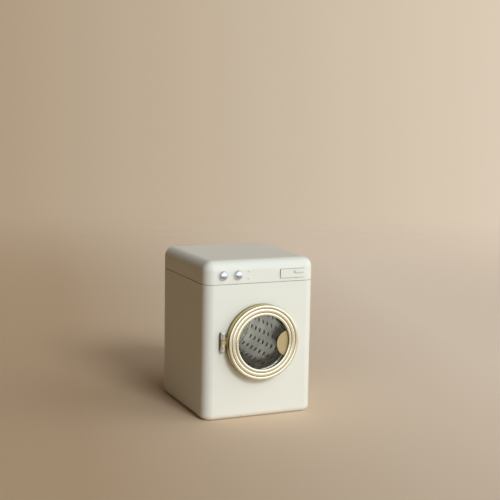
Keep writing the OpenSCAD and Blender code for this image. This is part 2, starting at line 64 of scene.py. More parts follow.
def linearColour(code):
    channels = [int(code[i:i + 2], 16) / 255 for i in (1, 3, 5)]
    linear = [c / 12.92 if c <= 0.04045 else ((c + 0.055) / 1.055) ** 2.4 for c in channels]
    return (*linear, 1.0)


def linkInputs(tree, node, links):
    for key, source in links.items():
        tree.links.new(source, node.inputs[key])


def addNode(tree, kind, settings=None, links=None):
    # a setting is a property of the node, or else one of its inputs
    node = tree.nodes.new(kind)
    for key, value in (settings or {}).items():
        if isinstance(key, str) and hasattr(node, key):
            setattr(node, key, value)
        else:
            node.inputs[key].default_value = value
    linkInputs(tree, node, links or {})
    return node


def newMaterial(name, settings):
    # gives the tree, its shader and the place on the piece that the patterns read
    material = bpy.data.materials.new(name)
    material.use_nodes = True
    tree = material.node_tree
    surface = tree.nodes["Principled BSDF"]
    for key, value in settings.items():
        surface.inputs[key].default_value = value
    place = addNode(tree, "ShaderNodeTexCoord").outputs["Object"]
    return material, tree, surface, place


def depthRamp(tree, place, start, end):
    # rises from 0 to 1 between two depths, measured from front to back along Y
    parts = addNode(tree, "ShaderNodeSeparateXYZ", None, {"Vector": place})
    ramp = addNode(tree, "ShaderNodeMapRange", {"From Min": start, "From Max": end},
                   {"Value": parts.outputs["Y"]})
    return ramp.outputs["Result"]


def span(node):
    # the low and high corners of a node's box, its middle and its size
    low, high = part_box(node)
    return low, high, (low + high) / 2, high - low


doorCentre = span("door_ring")[2]


# materials

enamel = {
    "colour": "#E4E2D3",
    "tones": ("#E6E4D6", "#E2E0D0"),
    "roughness": (0.32, 0.42),
    "cloud": 45 * mm,
    "peel": 1.6 * mm,
    "peelDepth": 0.03 * mm,
    "wave": 30 * mm,
    "waveDepth": 0.3 * mm,
    # painted shade, near-black, for the inside of the body
    "insideShade": "#12100E",
    "middleHeight": 70 * mm,
    "core": (43 * mm, 46 * mm, 61 * mm),
    "coreToShade": 8.3 * mm,
    "shadeTop": 115 * mm,
}


def stovedEnamel():
    # cream enamel sprayed on tinplate and stoved: an even satin coat with a faint orange peel
    settings = {"Base Color": linearColour(enamel["colour"]), "Roughness": 0.36, "IOR": 1.5}
    material, tree, surface, place = newMaterial("stovedEnamel", settings)
    cloud = addNode(tree, "ShaderNodeTexNoise", {"Scale": 1 / enamel["cloud"], "Detail": 2.0},
                    {"Vector": place})
    tone = addNode(tree, "ShaderNodeMix", {
        "data_type": "RGBA",
        colourA: linearColour(enamel["tones"][0]),
        colourB: linearColour(enamel["tones"][1]),
    }, {0: cloud.outputs["Fac"]})
    # the inside of the body is painted near-black as shade: there a point lies close to the box's
    # core
    reach = place
    for operation, amount in (("SUBTRACT", (0, 0, enamel["middleHeight"])),
                              ("ABSOLUTE", (0, 0, 0)),
                              ("SUBTRACT", enamel["core"]),
                              ("MAXIMUM", (0, 0, 0)),
                              ("LENGTH", (0, 0, 0))):
        step = addNode(tree, "ShaderNodeVectorMath", {"operation": operation, 1: amount},
                       {0: reach})
        reach = step.outputs["Value" if operation == "LENGTH" else "Vector"]
    inner = addNode(tree, "ShaderNodeMath", {"operation": "LESS_THAN", 1: enamel["coreToShade"]},
                    {0: reach})
    # the neck above it is enamelled
    parts = addNode(tree, "ShaderNodeSeparateXYZ", None, {"Vector": place})
    low = addNode(tree, "ShaderNodeMath", {"operation": "LESS_THAN", 1: enamel["shadeTop"]},
                  {0: parts.outputs["Z"]})
    insideShadeMask = addNode(tree, "ShaderNodeMath", {"operation": "MULTIPLY"},
                   {0: inner.outputs["Value"], 1: low.outputs["Value"]})
    shadedTone = addNode(tree, "ShaderNodeMix", {
        "data_type": "RGBA",
        colourB: linearColour(enamel["insideShade"]),
    }, {0: insideShadeMask.outputs["Value"], colourA: tone.outputs[mixedColour]})
    peel = addNode(tree, "ShaderNodeTexNoise", {"Scale": 1 / enamel["peel"], "Detail": 1.0},
                   {"Vector": place})
    wave = addNode(tree, "ShaderNodeTexNoise", {"Scale": 1 / enamel["wave"], "Detail": 1.0},
                   {"Vector": place})
    sheen = addNode(tree, "ShaderNodeMapRange", {
        "To Min": enamel["roughness"][0],
        "To Max": enamel["roughness"][1],
    }, {"Value": peel.outputs["Fac"]})
    sheet = addNode(tree, "ShaderNodeBump", {"Strength": 0.25, "Distance": enamel["waveDepth"]},
                    {"Height": wave.outputs["Fac"]})
    coat = addNode(tree, "ShaderNodeBump", {"Strength": 0.12, "Distance": enamel["peelDepth"]},
                   {"Height": peel.outputs["Fac"], "Normal": sheet.outputs["Normal"]})
    linkInputs(tree, surface, {
        "Base Color": shadedTone.outputs[mixedColour],
        "Roughness": sheen.outputs["Result"],
        "Normal": coat.outputs["Normal"],
    })
    return material


ringLacquer = {
    "tones": ("#F6EFD0", "#FEF9E0"),
    # painted shade in brown, for the grooves, the rolled corner and the back of the side wall
    "shadeBrown": "#6F5E30",
    # the side wall's matt tone is darkened as painted shade
    "matt": "#D2C390",
    "roughness": 0.24,
    "mattRoughness": 0.6,
    "smear": 7 * mm,
    "linePitch": 0.6 * mm,
    "lineDepth": 0.002 * mm,
    "grooveFloor": -63.6 * mm,
    # where each finish begins and where it is full, behind the floor of the grooves
    "polished": (0.3 * mm, 0),
    "crowns": (-0.4 * mm, -0.68 * mm),
    # the rolled corner and the hem are bands of painted shade
    "shadedCorner": (1.0 * mm, 0.7 * mm),
    "hem": (5.0 * mm, 5.6 * mm),
}


def lacqueredBrass():
    # brass pressed and spun about the door's axis, under pale lacquer: polished crowns with painted
    # shade in brown in the grooves between them, and a side wall left matt, its tone darkened as
    # painted shade
    settings = {
        "Base Color": linearColour(ringLacquer["tones"][1]),
        "Metallic": 0.75,
        "Roughness": ringLacquer["roughness"],
    }
    material, tree, surface, place = newMaterial("lacqueredBrassRing", settings)
    centred = addNode(tree, "ShaderNodeMapping", {"Location": -doorCentre}, {"Vector": place})
    # the real spinning lines are finer: these are as coarse as they need to be to show
    rings = addNode(tree, "ShaderNodeTexWave", {
        "wave_type": "RINGS",
        "rings_direction": "Y",
        "Scale": 0.314 / ringLacquer["linePitch"],  # at scale 0.314 the rings lie a metre apart
        "Distortion": 1.0,
        "Detail": 1.0,
        "Detail Scale": 2.0,
    }, {"Vector": centred.outputs["Vector"]})
    smear = addNode(tree, "ShaderNodeTexNoise", {"Scale": 1 / ringLacquer["smear"], "Detail": 3.0},
                    {"Vector": centred.outputs["Vector"]})
    tone = addNode(tree, "ShaderNodeMix", {
        "data_type": "RGBA",
        colourA: linearColour(ringLacquer["tones"][0]),
        colourB: linearColour(ringLacquer["tones"][1]),
    }, {0: smear.outputs["Fac"]})
    gloss = addNode(tree, "ShaderNodeMapRange", {
        "To Min": ringLacquer["roughness"] * 0.85,
        "To Max": ringLacquer["roughness"] * 1.2,
    }, {"Value": smear.outputs["Fac"]})
    ridges = addNode(tree, "ShaderNodeBump", {
        "Strength": 0.3,
        "Distance": ringLacquer["lineDepth"],
    }, {"Height": rings.outputs["Fac"]})
    band = {}
    for kind in ("polished", "crowns", "shadedCorner", "hem"):
        start, end = (ringLacquer["grooveFloor"] + depth for depth in ringLacquer[kind])
        band[kind] = depthRamp(tree, place, start, end)
    face = addNode(tree, "ShaderNodeMix", {
        "data_type": "RGBA",
        colourA: linearColour(ringLacquer["shadeBrown"]),
    }, {0: band["crowns"], colourB: tone.outputs[mixedColour]})
    # painted shade in brown also runs where the side wall rolls over into the face, as a dark line,
    # and along its turned-in hem, as the shadow in the gap against the cabinet
    lines = addNode(tree, "ShaderNodeMath", {"operation": "MAXIMUM"},
                    {0: band["shadedCorner"], 1: band["hem"]})
    wall = addNode(tree, "ShaderNodeMix", {
        "data_type": "RGBA",
        colourA: linearColour(ringLacquer["matt"]),
        colourB: linearColour(ringLacquer["shadeBrown"]),
    }, {0: lines.outputs["Value"]})
    finish = addNode(tree, "ShaderNodeMix", {"data_type": "RGBA"}, {
        0: band["polished"],
        colourA: wall.outputs[mixedColour],
        colourB: face.outputs[mixedColour],
    })
    spread = addNode(tree, "ShaderNodeMix", {
        "data_type": "FLOAT",
        numberA: ringLacquer["mattRoughness"],
    }, {0: band["polished"], numberB: gloss.outputs["Result"]})
    linkInputs(tree, surface, {
        "Base Color": finish.outputs[mixedColour],
        "Roughness": spread.outputs[mixedNumber],
        "Normal": ridges.outputs["Normal"],
    })
    return material


# the dark grey painted past a depth is painted shade
rolled = {"cloud": 18 * mm, "grainDepth": 0.02 * mm, "paintedShade": "#33332F", "shadeWidth": 1 * mm}


def rolledMetal(name, darkCode, paleCode, roughness, lineWidth, stretch, shadePast=None):
    # rolled or drawn metal: a long faint grain in one direction, drawn coarser than the real one
    # so that it shows
    settings = {"Base Color": linearColour(paleCode), "Metallic": 1.0, "Roughness": roughness}
    material, tree, surface, place = newMaterial(name, settings)
    drawn = addNode(tree, "ShaderNodeMapping", {"Scale": stretch}, {"Vector": place})
    streak = addNode(tree, "ShaderNodeTexNoise", {"Scale": 1 / lineWidth, "Detail": 3.0},
                     {"Vector": drawn.outputs["Vector"]})
    cloud = addNode(tree, "ShaderNodeTexNoise", {"Scale": 1 / rolled["cloud"], "Detail": 2.0},
                    {"Vector": place})
    tone = addNode(tree, "ShaderNodeMix", {
        "data_type": "RGBA",
        colourA: linearColour(darkCode),
        colourB: linearColour(paleCode),
    }, {0: cloud.outputs["Fac"]})
    gloss = addNode(tree, "ShaderNodeMapRange", {
        "To Min": roughness * 0.8,
        "To Max": roughness * 1.25,
    }, {"Value": streak.outputs["Fac"]})
    lines = addNode(tree, "ShaderNodeBump", {"Strength": 0.25, "Distance": rolled["grainDepth"]},
                    {"Height": streak.outputs["Fac"]})
    linkInputs(tree, surface, {
        "Base Color": tone.outputs[mixedColour],
        "Roughness": gloss.outputs["Result"],
        "Normal": lines.outputs["Normal"],
    })
    if shadePast is not None:
        # past this depth the sheet is painted dark grey, as shade on the drum's back
        deep = depthRamp(tree, place, shadePast - rolled["shadeWidth"], shadePast)
        paintedShade = addNode(tree, "ShaderNodeMix", {
            "data_type": "RGBA",
            colourB: linearColour(rolled["paintedShade"]),
        }, {0: deep, colourA: tone.outputs[mixedColour]})
        linkInputs(tree, surface, {"Base Color": paintedShade.outputs[mixedColour]})
    return material


# the darker tone past a depth is painted shade
plating = {"haze": 2.5 * mm, "paintedShade": "#8C8579", "shadeWidth": 0.9 * mm}


def polishedPlate(name, code, roughness, shadePast=None):
    # bright plating over polished metal: near-mirror, with a breath of haze
    settings = {"Base Color": linearColour(code), "Metallic": 1.0, "Roughness": roughness}
    material, tree, surface, place = newMaterial(name, settings)
    haze = addNode(tree, "ShaderNodeTexNoise", {"Scale": 1 / plating["haze"], "Detail": 2.0},
                   {"Vector": place})
    gloss = addNode(tree, "ShaderNodeMapRange", {
        "To Min": roughness * 0.7,
        "To Max": roughness * 1.4,
    }, {"Value": haze.outputs["Fac"]})
    linkInputs(tree, surface, {"Roughness": gloss.outputs["Result"]})
    if shadePast is not None:
        # past this depth it is painted darker, as shade on the side towards the cabinet
        behind = depthRamp(tree, place, shadePast, shadePast + plating["shadeWidth"])
        paintedShade = addNode(tree, "ShaderNodeMix", {
            "data_type": "RGBA",
            colourA: linearColour(code),
            colourB: linearColour(plating["paintedShade"]),
        }, {0: behind})
        linkInputs(tree, surface, {"Base Color": paintedShade.outputs[mixedColour]})
    return material


grain = {"size": 0.5 * mm, "depth": 0.02 * mm}


def mattGrain(name, darkCode, paleCode, roughness):
    # moulded polystyrene or ground ferrite: an even colour under a fine matt texture, drawn coarser
    # than the real one so that it shows
    settings = {"Base Color": linearColour(paleCode), "Roughness": roughness, "IOR": 1.5}
    material, tree, surface, place = newMaterial(name, settings)
    grit = addNode(tree, "ShaderNodeTexNoise", {"Scale": 1 / grain["size"], "Detail": 2.0},
                   {"Vector": place})
    tone = addNode(tree, "ShaderNodeMix", {
        "data_type": "RGBA",
        colourA: linearColour(darkCode),
        colourB: linearColour(paleCode),
    }, {0: grit.outputs["Fac"]})
    texture = addNode(tree, "ShaderNodeBump", {"Strength": 0.2, "Distance": grain["depth"]},
                      {"Height": grit.outputs["Fac"]})
    linkInputs(tree, surface, {
        "Base Color": tone.outputs[mixedColour],
        "Normal": texture.outputs["Normal"],
    })
    return material


acrylic = {
    "colour": "#F6F8F6",
    "shadow": "#F0F2F0",
    "roughness": (0.02, 0.06),
    "smear": 12 * mm,
}


def clearSheet():
    # clear acrylic sheet: its gloss shows, and lamps shine through it on what is behind
    settings = {
        "Base Color": linearColour(acrylic["colour"]),
        "Roughness": 0.03,
        "IOR": 1.49,
        "Transmission Weight": 1.0,
    }
    material, tree, surface, place = newMaterial("clearAcrylicSheet", settings)
    smear = addNode(tree, "ShaderNodeTexNoise", {"Scale": 1 / acrylic["smear"], "Detail": 2.0},
                    {"Vector": place})
    gloss = addNode(tree, "ShaderNodeMapRange", {
        "To Min": acrylic["roughness"][0],
        "To Max": acrylic["roughness"][1],
    }, {"Value": smear.outputs["Fac"]})
    linkInputs(tree, surface, {"Roughness": gloss.outputs["Result"]})
    through = addNode(tree, "ShaderNodeBsdfTransparent", {"Color": linearColour(acrylic["shadow"])})
    path = addNode(tree, "ShaderNodeLightPath")
    pane = addNode(tree, "ShaderNodeMixShader", None, {
        0: path.outputs["Is Shadow Ray"],
        1: surface.outputs["BSDF"],
        2: through.outputs["BSDF"],
    })
    linkInputs(tree, tree.nodes["Material Output"], {"Surface": pane.outputs["Shader"]})
    return material


finishes = {
    "cream_enamel": stovedEnamel(),
    "white_plastic": mattGrain("mouldedWhitePlastic", "#D9D7CF", "#E2E0D8", 0.45),
    "screw_steel": polishedPlate("zincPlatedSteel", "#BFC0C2", 0.22),
    # the tinplate's tones are darkened to brown-grey as painted shade, for the collar seen inside
    # the porthole
    "tinned_steel": rolledMetal("shadedTinplate", "#524D3C", "#645F4D", 0.52, 0.6 * mm,
                                (1, 1, 0.08)),
    "rivet_steel": polishedPlate("pressedRivetSteel", "#B4B4B2", 0.3),
    "axle_steel": polishedPlate("turnedSteel", "#B2B2B0", 0.24),
    # the drum's back is painted dark as shade
    "drum_steel": rolledMetal("punchedDrumSheet", "#777671", "#AAA9A2", 0.55, 0.5 * mm,
                              (1, 0.1, 1), shadePast=44 * mm),
    "bronze": rolledMetal("sinteredBronze", "#A9793F", "#B98A4E", 0.42, 0.4 * mm, (1, 1, 1)),
    # the hinge is painted darker towards the cabinet, as shade
    "hinge_chrome": polishedPlate("chromePlatedHinge", "#F0F2F6", 0.2, shadePast=-59.3 * mm),
    "magnet_ferrite": mattGrain("groundFerrite", "#3B3B3D", "#49494C", 0.5),
    "ring_brass": lacqueredBrass(),
    "grip_gold": rolledMetal("mattBrassGrip", "#C8B488", "#D8C598", 0.5, 0.5 * mm, (0.15, 1, 1)),
    "clear_window": clearSheet(),
    "knob_chrome": polishedPlate("chromePlatedKnob", "#DCE3EF", 0.26),
}
for row in frame["record"]["subparts"]:
    for materialSlot in nodes[row["node"]].material_slots:
        materialSlot.material = finishes[row["material_slot"]]
print("materials made:", len(finishes))


# helpers for pieces

def addObject(name, data):
    made = bpy.data.objects.new(name, data)
    bpy.context.scene.collection.objects.link(made)
    return made


def addPiece(name, bm, body, slot, replaced=(), thickness=0, bevel=0, smoothAngle=35):
    mesh = bpy.data.meshes.new(name)
    bm.to_mesh(mesh)
    bm.free()
    mesh.shade_smooth()
    mesh.materials.append(finishes[slot])
    piece = addObject(name, mesh)
    if thickness:
        wall = piece.modifiers.new("wall", "SOLIDIFY")
        wall.thickness = thickness
        wall.offset = -1
        wall.use_even_offset = True
    if bevel:
        edge = piece.modifiers.new("edge", "BEVEL")
        edge.width = bevel
        edge.segments = 2
        edge.limit_method = "ANGLE"
        edge.angle_limit = math.radians(smoothAngle)
        edge.use_clamp_overlap = True
    else:
        mesh.set_sharp_from_angle(angle=math.radians(smoothAngle))
    normals = piece.modifiers.new("normals", "WEIGHTED_NORMAL")
    normals.keep_sharp = True
    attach(piece, body)
    if replaced:
        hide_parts(*replaced)


def arc(x, y, radius, start, end, steps):
    turns = [math.radians(start + (end - start) * i / steps) for i in range(steps + 1)]
    return [(x + radius * math.cos(a), y + radius * math.sin(a)) for a in turns]


def domeArc(radius, height, steps):
    # half the outline of a spherical cap, from its top to its rim
    ball = (radius ** 2 + height ** 2) / (2 * height)
    reach = math.asin(radius / ball)
    turns = [reach * i / steps for i in range(steps + 1)]
    return [(ball * math.sin(a), height - ball + ball * math.cos(a)) for a in turns]


def turnedShape(bm, profile, centre, steps, axis="Y", closed=True):
    # profile: (radius, height) points; the height runs along -Y or +Z from the centre
    forward = Vector((0, -1, 0)) if axis == "Y" else Vector((0, 0, 1))
    side = Vector((1, 0, 0))
    made = [bm.verts.new(centre + side * r + forward * h) for r, h in profile]
    edges = [bm.edges.new(pair) for pair in zip(made, made[1:])]
    if closed:
        edges.append(bm.edges.new((made[-1], made[0])))
    bmesh.ops.spin(bm, geom=made + edges, cent=centre, axis=forward, angle=math.tau, steps=steps,
                   use_merge=True)
    bmesh.ops.remove_doubles(bm, verts=bm.verts, dist=doubleGap)
    bmesh.ops.recalc_face_normals(bm, faces=bm.faces)


def faceOutwards(bm, middle):
    bmesh.ops.recalc_face_normals(bm, faces=bm.faces)
    if sum(f.normal.dot(f.calc_center_median() - middle) for f in bm.faces) < 0:
        bmesh.ops.reverse_faces(bm, faces=bm.faces)


def vertsOf(geometry):
    return [g for g in geometry if isinstance(g, bmesh.types.BMVert)]


def edgesWhere(bm, test):
    # test gets an edge's middle and the edge
    return [e for e in bm.edges if test((e.verts[0].co + e.verts[1].co) / 2, e)]


def bevelEdges(bm, edges, offset, segments):
    bmesh.ops.bevel(bm, geom=edges, offset=offset, offset_type="OFFSET", affect="EDGES",
                    segments=segments, profile=0.5, material=-1, clamp_overlap=True)


def addBox(bm, low, high):
    size = high - low
    place = Matrix.Translation((low + high) / 2) @ Matrix.Diagonal(size.to_4d())
    bmesh.ops.create_cube(bm, size=1, matrix=place)


def roundOutline(bm, place, width, height, radius, segments=8):
    # a rounded rectangle of edges, with no face: the grown corners leave one face between them
    size = Matrix.Diagonal((width, height, 1, 1))
    verts = bmesh.ops.create_grid(bm, x_segments=1, y_segments=1, size=0.5,
                                  matrix=place @ size)["verts"]
    grown = bmesh.ops.bevel(bm, geom=verts, offset=radius, offset_type="OFFSET",
                            affect="VERTICES", segments=segments, profile=0.5, material=-1)
    around = [f for f in bm.faces if all(v in f.verts for v in grown["verts"])]
    face = max(around, key=lambda f: len(f.verts))
    edges = list(face.edges)
    bmesh.ops.delete(bm, geom=[face], context="FACES_ONLY")
    return edges


def ringOutline(bm, place, radius, segments):
    verts = bmesh.ops.create_circle(bm, cap_ends=False, radius=radius, segments=segments,
                                    matrix=place)["verts"]
    return list({e for v in verts for e in v.link_edges})


def openFace(bm, normal, outlines):
    # swaps the largest flat face that looks along normal for one with holes in it; the outlines
    # are functions, because the holes are drawn once the face is gone
    bm.normal_update()
    flat = [f for f in bm.faces if f.normal.dot(normal) > 0.999]
    face = max(flat, key=lambda f: f.calc_area())
    outer = list(face.edges)
    bmesh.ops.delete(bm, geom=[face], context="FACES_ONLY")
    holes = [edge for makeOutline in outlines for edge in makeOutline()]
    bmesh.ops.triangle_fill(bm, use_beauty=True, use_dissolve=False, edges=outer + holes,
                            normal=normal)


def addSlab(name, node, body, outward, corner, thickness, bevel):
    # a flat rounded sheet of enamelled tinplate that fills a node's box from its outward side
    low, high, middle, size = span(node)
    place = Matrix.Translation(middle + outward * abs(size.dot(outward)) / 2)
    height = size.y
    if outward.y:
        place = place @ facingFront
        height = size.z
    bm = bmesh.new()
    edges = roundOutline(bm, place, size.x, height, corner)
    bmesh.ops.triangle_fill(bm, use_beauty=True, use_dissolve=True, edges=edges)
    bmesh.ops.recalc_face_normals(bm, faces=bm.faces)
    if bm.faces[:][0].normal.dot(outward) < 0:
        bmesh.ops.reverse_faces(bm, faces=bm.faces)
    addPiece(name, bm, body, "cream_enamel", [node], thickness=thickness, bevel=bevel)


# cabinet

cabinet = {
    "edgeRadius": 9 * mm,
    "edgeSteps": 14,
    "footRadius": 5 * mm,
    "footSteps": 8,
    "sheet": 1 * mm,
    "bevel": 0.18 * mm,
    "seamGap": 0.6 * mm,
    "openingRadius": 25.55 * mm,
    "openingSides": 96,
    "magnetHole": 2.1 * mm,
    "magnetHoleSides": 24,
}
panels = {
    "gap": 0.15 * mm,
    "backCorner": 4 * mm,
    "baseCorner": 5 * mm,
    "bevel": 0.2 * mm,
}
neck = {
    "height": 5 * mm,
    "gap": 0.15 * mm,
    "wall": 0.85 * mm,
    "bevel": 0.1 * mm,
    "cornerSteps": 12,
    "cutBesideDrawer": 5.3 * mm,
    "cutDepth": 3 * mm,
}
towardsFront = Vector((0, -1, 0))
towardsBack = Vector((0, 1, 0))
downwards = Vector((0, 0, -1))


def makeCabinet():
    # a box open at the top, with holes for the door, the magnet, the back and the base
    low, high, middle, size = span("cabinet_shell")
    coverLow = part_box("top_cover")[0].z
    magnet = span("catch_magnet")[2]
    backMiddle, backSize = span("back_panel")[2:]
    baseMiddle, baseSize = span("base_plate")[2:]
    bm = bmesh.new()
    addBox(bm, low, Vector((high.x, high.y, coverLow - cabinet["seamGap"])))
    upright = edgesWhere(bm, lambda p, e: abs((e.verts[0].co - e.verts[1].co).z) > size.z / 2)
    bevelEdges(bm, upright, cabinet["edgeRadius"], cabinet["edgeSteps"])
    foot = edgesWhere(bm, lambda p, e: p.z < low.z + touch)
    bevelEdges(bm, foot, cabinet["footRadius"], cabinet["footSteps"])
    top = [f for f in bm.faces if f.normal.z > flatEnough]
    bmesh.ops.delete(bm, geom=top, context="FACES_ONLY")
    openingPlace = Matrix.Translation((doorCentre.x, low.y, doorCentre.z)) @ facingFront
    magnetPlace = Matrix.Translation((magnet.x, low.y, magnet.z)) @ facingFront
    openFace(bm, towardsFront, [
        lambda: ringOutline(bm, openingPlace, cabinet["openingRadius"], cabinet["openingSides"]),
        lambda: ringOutline(bm, magnetPlace, cabinet["magnetHole"], cabinet["magnetHoleSides"]),
    ])
    gap = panels["gap"]
    backPlace = Matrix.Translation((backMiddle.x, high.y, backMiddle.z)) @ facingFront
    openFace(bm, towardsBack, [
        lambda: roundOutline(bm, backPlace, backSize.x + 2 * gap, backSize.z + 2 * gap,
                             panels["backCorner"] + gap),
    ])
    basePlace = Matrix.Translation((baseMiddle.x, baseMiddle.y, low.z))
    openFace(bm, downwards, [
        lambda: roundOutline(bm, basePlace, baseSize.x + 2 * gap, baseSize.y + 2 * gap,
                             panels["baseCorner"] + gap),
    ])
    faceOutwards(bm, middle)
    addPiece("cabinetShell", bm, "cabinet", "cream_enamel", ["cabinet_shell"],
             thickness=cabinet["sheet"], bevel=cabinet["bevel"])


def makeNeck():
    # the strip of sheet that the top cover slips over, cut down in front where the drawer slides
    low, high, middle, size = span("cabinet_shell")
    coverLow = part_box("top_cover")[0].z
    bottom = coverLow - cabinet["seamGap"] - neck["height"]
    inset = cabinet["sheet"] + neck["gap"]
    bm = bmesh.new()
    edges = roundOutline(bm, Matrix.Translation((middle.x, middle.y, bottom)),
                         size.x - 2 * inset, size.y - 2 * inset, cabinet["edgeRadius"] - inset,
                         neck["cornerSteps"])
    raised = bmesh.ops.extrude_edge_only(bm, edges=edges)["geom"]
    bmesh.ops.translate(bm, verts=vertsOf(raised), vec=(0, 0, high.z - bottom))
    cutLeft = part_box("drawer_front")[0].x - neck["cutBesideDrawer"]
    for spot, line in ((Vector((cutLeft, 0, 0)), Vector((1, 0, 0))),
                       (Vector((0, 0, coverLow)), Vector((0, 0, 1)))):
        bmesh.ops.bisect_plane(bm, geom=bm.verts[:] + bm.edges[:] + bm.faces[:], plane_co=spot,
                               plane_no=line)
    corner = Vector((cutLeft, low.y + neck["cutDepth"], coverLow))
    gone = []
    for face in bm.faces:
        past = face.calc_center_median() - corner
        if past.x > 0 and past.y < 0 and past.z > 0:
            gone.append(face)
    bmesh.ops.delete(bm, geom=gone, context="FACES")
    faceOutwards(bm, middle)
    addPiece("cabinetNeck", bm, "cabinet", "cream_enamel", thickness=neck["wall"],
             bevel=neck["bevel"])


makeCabinet()
makeNeck()
addSlab("backPanel", "back_panel", "cabinet", towardsBack, panels["backCorner"],
        cabinet["sheet"], panels["bevel"])
addSlab("basePlate", "base_plate", "cabinet", downwards, panels["baseCorner"],
        cabinet["sheet"], panels["bevel"])
print("cabinet made")


# top cover

cover = {
    "knobHole": 2.4 * mm,
    "knobHoleSides": 32,
    "drawerGap": 0.3 * mm,
    "slotCorner": 1.3 * mm,
}
dots = {
    "radius": 1.3 * mm,
    "height": 0.5 * mm,
    "foot": 0.35 * mm,
    "footRise": 0.02 * mm,
    "sunk": 0.01 * mm,
    "besideKnob": 10.1 * mm,
    "pitch": 6.4 * mm,
    "steps": 32,
}


def makeCover():
    # a cap open below, with a slot for the drawer and holes for the knobs' spindles
    low, high, middle, size = span("top_cover")
    front, back = (corner.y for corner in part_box("cabinet_shell"))
    drawerMiddle, drawerSize = span("drawer_front")[2:]
    bm = bmesh.new()
    addBox(bm, Vector((low.x, front, low.z)), Vector((high.x, back, high.z)))
    rounded = edgesWhere(bm, lambda p, e: p.z > low.z + touch)
    bevelEdges(bm, rounded, cabinet["edgeRadius"], cabinet["edgeSteps"])
    under = [f for f in bm.faces if f.normal.z < -flatEnough]
    bmesh.ops.delete(bm, geom=under, context="FACES_ONLY")
    gap = 2 * cover["drawerGap"]
    slotPlace = Matrix.Translation((drawerMiddle.x, front, drawerMiddle.z)) @ facingFront
    outlines = [lambda: roundOutline(bm, slotPlace, drawerSize.x + gap, drawerSize.z + gap,
                                     cover["slotCorner"])]
    for node in ("left_knob", "right_knob"):
        knobMiddle = span(node)[2]
        place = Matrix.Translation((knobMiddle.x, front, knobMiddle.z)) @ facingFront
        outlines.append(lambda place=place: ringOutline(bm, place, cover["knobHole"],
                                                        cover["knobHoleSides"]))
    openFace(bm, towardsFront, outlines)
    faceOutwards(bm, middle)
    addPiece("topCover", bm, "cabinet", "cream_enamel", ["top_cover"],
             thickness=cabinet["sheet"], bevel=cabinet["bevel"])


def makeDots():
    # two shallow domes pressed up in the panel, one above the other beside the right knob
    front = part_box("cabinet_shell")[0].y
    knobMiddle = span("right_knob")[2]
    profile = domeArc(dots["radius"], dots["height"], 8)[:-1] + [
        (dots["radius"] + dots["foot"] * 0.2, dots["footRise"]),
        (dots["radius"] + dots["foot"], -dots["sunk"]),
    ]
    bm = bmesh.new()
    for side in (-1, 1):
        centre = Vector((knobMiddle.x + dots["besideKnob"], front,
                         knobMiddle.z + side * dots["pitch"] / 2))
        turnedShape(bm, profile, centre, dots["steps"], closed=False)
    addPiece("raisedDots", bm, "cabinet", "cream_enamel", smoothAngle=60)


makeCover()
makeDots()
print("top cover made")


# door

door = {
    "windowRadius": 23.8 * mm,
    "beads": (1.4 * mm, 1.8 * mm, 1.4 * mm),  # half widths, from the window outwards
    "beadSteps": 14,
    "rimWall": 1.2 * mm,
    "plate": 1.4 * mm,
    "groove": 0.7 * mm,
    "grooveFloor": 0.06 * mm,
    "hemInside": 0.15 * mm,
    "hemOutside": 0.2 * mm,
    "windowEdge": 0.02 * mm,
    "windowEdgeDrop": 0.1 * mm,
    "rolled": 0.5 * mm,
    "rolledSteps": 4,
    "cornerBand": 0.12 * mm,
    "cornerDepth": 0.75 * mm,
    "shortest": 0.5 * mm,
    "steps": 192,
}


def makeDoorRing():
    # the outline goes up the hem and the side wall, over the three beads and down at the window
    low, high, middle, size = span("door_ring")
    depth = size.y
    outer = size.x / 2
    wall = outer - door["rimWall"]
    groove = door["groove"]
    seat = depth - groove - door["plate"]
    profile = [(wall, seat), (wall, door["hemInside"]), (wall + door["hemInside"], 0),
               (outer - door["hemOutside"], 0), (outer, door["hemOutside"])]
    edge = outer
    for half in reversed(door["beads"]):
        radius = (half ** 2 + groove ** 2) / (2 * groove)
        lean = math.degrees(math.asin((half - door["grooveFloor"]) / radius))
        profile += arc(edge - half, depth - radius, radius, 90 - lean, 90 + lean,
                       door["beadSteps"])
        edge -= 2 * half
    inner = door["windowRadius"]
    profile += [(inner + door["windowEdge"], depth - groove - door["windowEdgeDrop"]),
                (inner + door["windowEdge"], seat + door["hemInside"]),
                (inner + door["hemOutside"], seat)]
    bm = bmesh.new()
    turnedShape(bm, profile, Vector((middle.x, high.y, middle.z)), door["steps"])
    # the side wall rolls over into the outer bead
    corner = edgesWhere(bm, lambda p, e: (p - middle).xz.length > outer - door["cornerBand"]
                        and p.y < low.y + door["cornerDepth"]
                        and e.calc_length() > door["shortest"])
    bevelEdges(bm, corner, door["rolled"], door["rolledSteps"])
    addPiece("doorRing", bm, "door", "ring_brass", ["door_ring"], smoothAngle=40)


grip = {
    "radius": 11.8 * mm,
    "reach": 25.0 * mm,
    "tilt": 6,  # degrees, below the level
    "cut": 25.6 * mm,
    "bevel": 0.38 * mm,
    "annulus": 24.8 * mm,
    "moonSteps": 48,
    "cutSteps": 24,
    "steps": 96,
}


